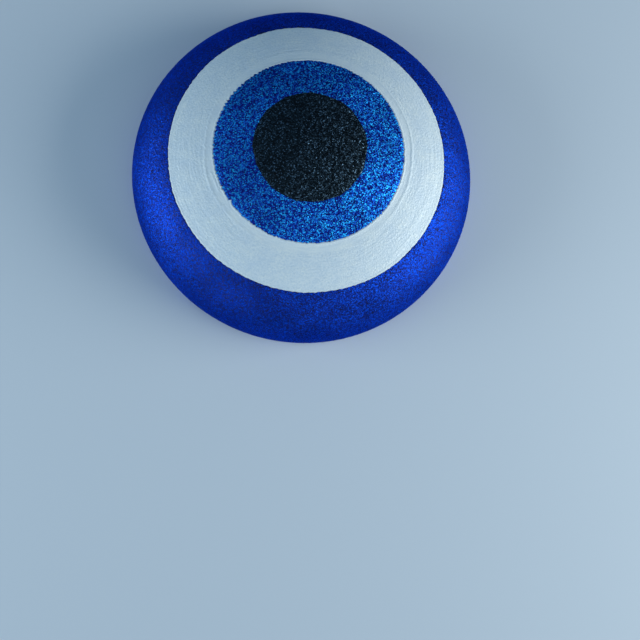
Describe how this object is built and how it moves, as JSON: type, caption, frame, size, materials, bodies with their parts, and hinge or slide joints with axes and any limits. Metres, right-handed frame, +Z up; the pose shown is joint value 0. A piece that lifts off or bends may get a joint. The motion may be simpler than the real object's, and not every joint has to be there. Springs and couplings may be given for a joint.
{
  "type": "percher hat",
  "caption": "Round domed percher hat with a painted and glittered eye motif, lined inside, with a hinged hair comb and two hinged eyelet tabs for elastic.",
  "frame": {"origin": "centre of the rim, on the plane that the hat's edge rests on", "axes": "+Z up along the dome's axis; +X towards the wearer's back, -X towards the face; -Y the side worn low, +Y the side worn high, where the comb is sewn"},
  "size_m": [0.21, 0.21, 0.064],
  "materials": {
    "foundation_felt": "blocked wool felt, stiffened",
    "fine_blue_glitter": "fine royal blue glitter sealed in varnish",
    "white_paint": "brushed white paint, satin, with brush ridges",
    "azure_glitter": "coarse azure glitter sealed in varnish",
    "black_glitter": "black glitter with grey sparkle",
    "millinery_wire": "drawn spring wire",
    "ferrule_brass": "crimped brass",
    "binding_tape": "navy bias-cut cotton tape",
    "satin_lining": "navy satin",
    "petersham": "black ribbed petersham ribbon",
    "sewing_thread": "navy sewing thread",
    "felt_pad": "black craft felt",
    "comb_steel": "nickel-plated wire",
    "tab_ribbon": "narrow black grosgrain",
    "eyelet_brass": "rolled brass"
  },
  "bodies": {
    "hat": {"foundation_shell": "foundation_felt", "outer_glitter_band": "fine_blue_glitter", "white_paint_band": "white_paint", "iris_glitter_band": "azure_glitter", "pupil_glitter_disc": "black_glitter", "edge_wire": "millinery_wire", "wire_joiner": "ferrule_brass", "edge_binding": "binding_tape", "lining_tip": "satin_lining", "lining_side_band": "satin_lining", "lining_seam": "satin_lining", "rim_ribbon": "petersham", "ribbon_overlap": "petersham", "ribbon_stitches": "sewing_thread", "comb_pad": "felt_pad", "comb_stitches": "sewing_thread", "tab_bar_tacks": "sewing_thread"},
    "comb": {"comb_spine": "comb_steel", "comb_teeth": "comb_steel", "comb_winding": "comb_steel"},
    "tab_front": {"elastic_tab_front": "tab_ribbon", "eyelet_front": "eyelet_brass"},
    "tab_back": {"elastic_tab_back": "tab_ribbon", "eyelet_back": "eyelet_brass"}
  },
  "joints": [
    {"name": "comb_hinge", "type": "hinge", "parent": "hat", "child": "comb", "pos_m": [0, 0.08227, 0.03259], "axis": [1, 0, 0], "range_deg": [0, 70]},
    {"name": "tab_front_hinge", "type": "hinge", "parent": "hat", "child": "tab_front", "pos_m": [-0.09617, 0, 0.0225], "axis": [0, -1, 0], "range_deg": [0, 100]},
    {"name": "tab_back_hinge", "type": "hinge", "parent": "hat", "child": "tab_back", "pos_m": [0.09617, 0, 0.0225], "axis": [0, 1, 0], "range_deg": [0, 100]}
  ]
}
